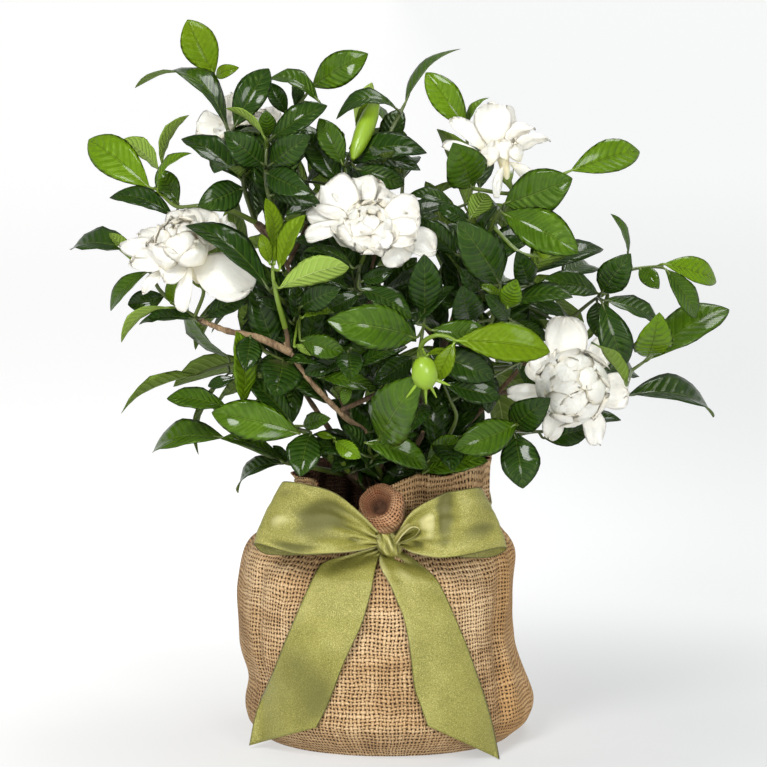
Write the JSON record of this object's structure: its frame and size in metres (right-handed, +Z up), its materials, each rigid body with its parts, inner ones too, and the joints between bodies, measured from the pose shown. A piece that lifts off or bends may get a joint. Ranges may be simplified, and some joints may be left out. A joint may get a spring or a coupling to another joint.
{
  "type": "potted gardenia",
  "caption": "Gardenia bush with glossy leaves and white double blooms, in a nursery pot inside a burlap sack tied with a satin ribbon bow.",
  "frame": {"origin": "middle of the sack's flat base, on the surface that the plant stands on", "axes": "+Z up along the trunk, -Y towards the side with the bow, +X to the right as seen from that side"},
  "size_m": [0.4344, 0.334, 0.4774],
  "materials": {
    "leaf": "glossy, leathery green leaf with raised ribs",
    "young_leaf": "fresh lime-green leaf",
    "bark": "brown bark, reddish on young wood",
    "petal": "thick white petal, cream in the crevices",
    "burlap": "open plain-weave burlap",
    "satin": "olive satin with fine glitter",
    "pot": "black nursery pot plastic",
    "soil": "moist potting mix with bark chips"
  },
  "bodies": {
    "root": {"bloom_left": "petal", "bloom_middle": "petal", "bloom_right": "petal", "bloom_top_left": "petal", "bloom_top_right": "petal", "burlap_sack": "burlap", "nursery_pot": "pot", "potting_soil": "soil", "ribbon_band": "satin", "ribbon_knot": "satin", "ribbon_loop_left": "satin", "ribbon_loop_right": "satin", "ribbon_tail_left": "satin", "ribbon_tail_right": "satin", "shoot_back_1": "leaf", "shoot_back_10": "leaf", "shoot_back_11": "leaf", "shoot_back_12": "leaf", "shoot_back_2": "leaf", "shoot_back_3": "leaf", "shoot_back_4": "leaf", "shoot_back_5": "leaf", "shoot_back_6": "leaf", "shoot_back_7": "leaf", "shoot_back_8": "leaf", "shoot_back_9": "leaf", "shoot_crown_left": "leaf", "shoot_crown_middle": "leaf", "shoot_crown_slender": "leaf", "shoot_front_of_left_bloom": "leaf", "shoot_inner_left": "leaf", "shoot_inside_1": "leaf", "shoot_inside_2": "leaf", "shoot_left": "leaf", "shoot_left_of_fork": "leaf", "shoot_low_left": "leaf", "shoot_low_middle": "leaf", "shoot_low_right": "leaf", "shoot_lowest_left": "leaf", "shoot_middle": "leaf", "shoot_middle_low": "leaf", "shoot_middle_right": "leaf", "shoot_over_left_bloom": "leaf", "shoot_right": "leaf", "shoot_right_low": "leaf", "shoot_right_outer": "leaf", "shoot_top_left": "leaf", "shoot_top_right": "leaf", "shoot_under_middle_bloom": "leaf", "shoot_under_right_bloom": "leaf", "shoot_upper_left": "leaf", "shoot_upper_right": "leaf", "woody_stems": "bark", "young_leaves_top_left": "young_leaf", "young_shoot_crown": "young_leaf", "young_shoot_left": "young_leaf", "young_shoot_low": "young_leaf", "young_shoot_middle": "young_leaf"}
  },
  "joints": []
}
